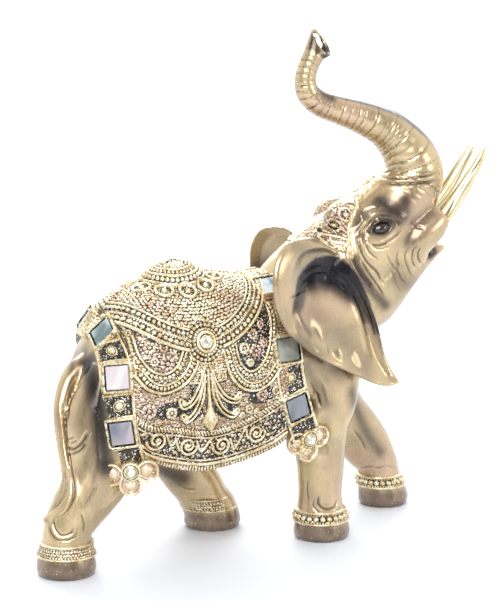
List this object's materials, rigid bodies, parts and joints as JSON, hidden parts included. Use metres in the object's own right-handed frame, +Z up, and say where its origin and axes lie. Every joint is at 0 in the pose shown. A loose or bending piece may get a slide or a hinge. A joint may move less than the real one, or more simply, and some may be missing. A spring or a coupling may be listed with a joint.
{
  "type": "elephant figurine",
  "caption": "Walking elephant figurine with its trunk raised, cast in painted resin, with an ornamented blanket, mirror-set straps and anklets. Stands on its own feet as a display piece.",
  "frame": {"origin": "on the floor under the middle of the figurine's outline", "axes": "+X the way the elephant walks, +Y its left side, +Z up; its right side, at -Y, is the show side"},
  "size_m": [0.2033, 0.0842, 0.2098],
  "materials": {
    "casting": "cast resin under metallic bronze-gold lacquer with dark antique shading, glossy",
    "mirror_glass": "silvered flat glass tile",
    "rhinestone": "foil-backed clear cut stone"
  },
  "bodies": {
    "root": {"elephant_casting": "casting", "mirror_tile_rear_1_right": "mirror_glass", "mirror_tile_rear_2_right": "mirror_glass", "mirror_tile_rear_3_right": "mirror_glass", "mirror_tile_front_1_right": "mirror_glass", "mirror_tile_front_2_right": "mirror_glass", "mirror_tile_front_3_right": "mirror_glass", "mirror_tile_rear_1_left": "mirror_glass", "mirror_tile_rear_2_left": "mirror_glass", "mirror_tile_rear_3_left": "mirror_glass", "mirror_tile_front_1_left": "mirror_glass", "mirror_tile_front_2_left": "mirror_glass", "mirror_tile_front_3_left": "mirror_glass", "rhinestone_saddle_right": "rhinestone", "rhinestone_rear_pendant_right": "rhinestone", "rhinestone_front_pendant_right": "rhinestone", "rhinestone_saddle_left": "rhinestone", "rhinestone_rear_pendant_left": "rhinestone", "rhinestone_front_pendant_left": "rhinestone"}
  },
  "joints": []
}
